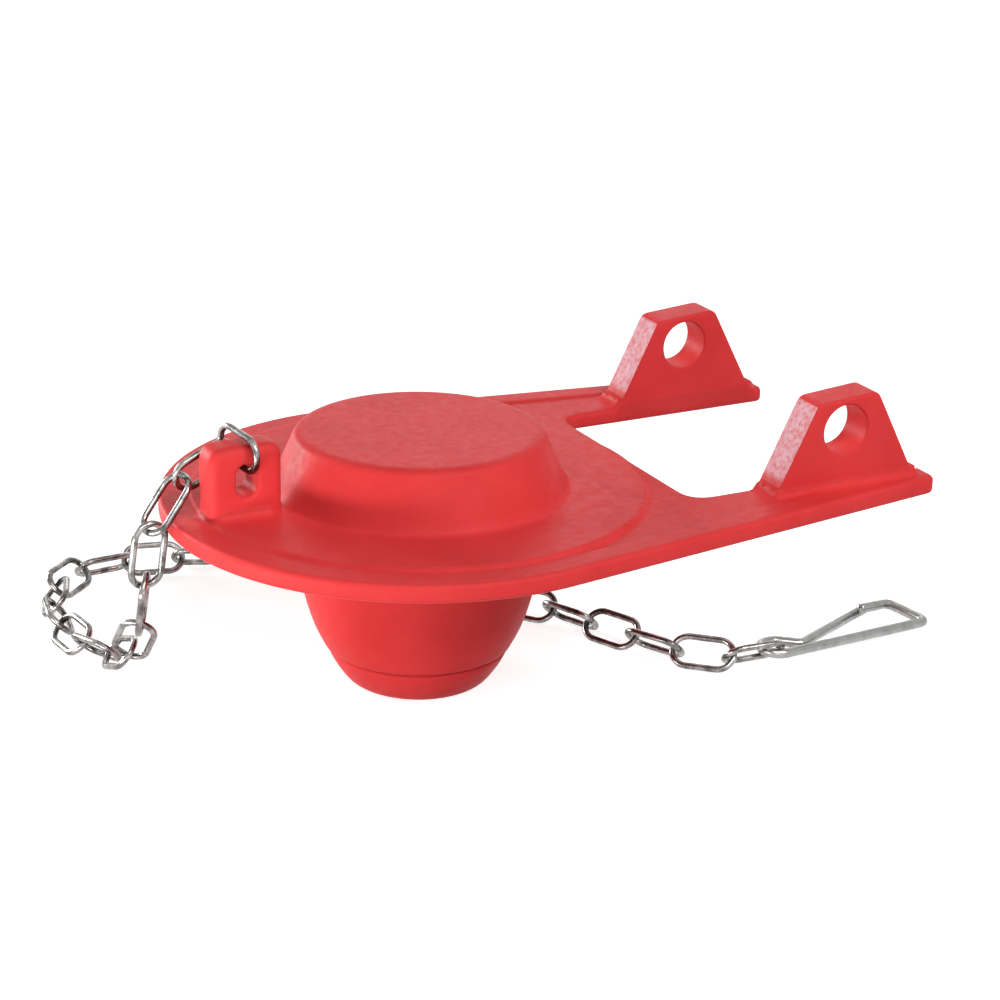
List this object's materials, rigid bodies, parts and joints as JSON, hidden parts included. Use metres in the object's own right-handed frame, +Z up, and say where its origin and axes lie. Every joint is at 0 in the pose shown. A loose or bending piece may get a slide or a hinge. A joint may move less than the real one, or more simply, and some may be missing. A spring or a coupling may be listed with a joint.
{
  "type": "toilet flapper",
  "caption": "Moulded rubber flush valve flapper with a sealing disc, an air bulb under a dome, a forked hinge with bored ears, and a steel lift chain on its tab with a wire clip.",
  "frame": {"origin": "middle of the hinge line, midway between the two ears, on the axis of their bores", "axes": "+Y along the hinge line toward the ear on the left when looking from the hinge to the bulb, +X from the hinge line to the bulb and the chain tab, +Z up, square to the sealing disc"},
  "size_m": [0.1408, 0.1054, 0.0484],
  "materials": {
    "flapper_rubber": "satin red moulded rubber",
    "chain_steel": "polished bent wire",
    "clip_steel": "polished spring wire"
  },
  "bodies": {
    "root": {"flapper_body": "flapper_rubber", "chain_link_01": "chain_steel", "chain_link_02": "chain_steel", "chain_link_03": "chain_steel", "chain_link_04": "chain_steel", "chain_link_05": "chain_steel", "chain_link_06": "chain_steel", "chain_link_07": "chain_steel", "chain_link_08": "chain_steel", "chain_link_09": "chain_steel", "chain_link_10": "chain_steel", "chain_link_11": "chain_steel", "chain_link_12": "chain_steel", "chain_link_13": "chain_steel", "chain_link_14": "chain_steel", "chain_link_15": "chain_steel", "chain_link_16": "chain_steel", "chain_link_17": "chain_steel", "chain_link_18": "chain_steel", "chain_link_19": "chain_steel", "chain_link_20": "chain_steel", "chain_link_21": "chain_steel", "chain_link_22": "chain_steel", "chain_link_23": "chain_steel", "chain_link_24": "chain_steel", "chain_link_25": "chain_steel", "chain_link_26": "chain_steel", "chain_link_27": "chain_steel", "wire_clip": "clip_steel"}
  },
  "joints": []
}
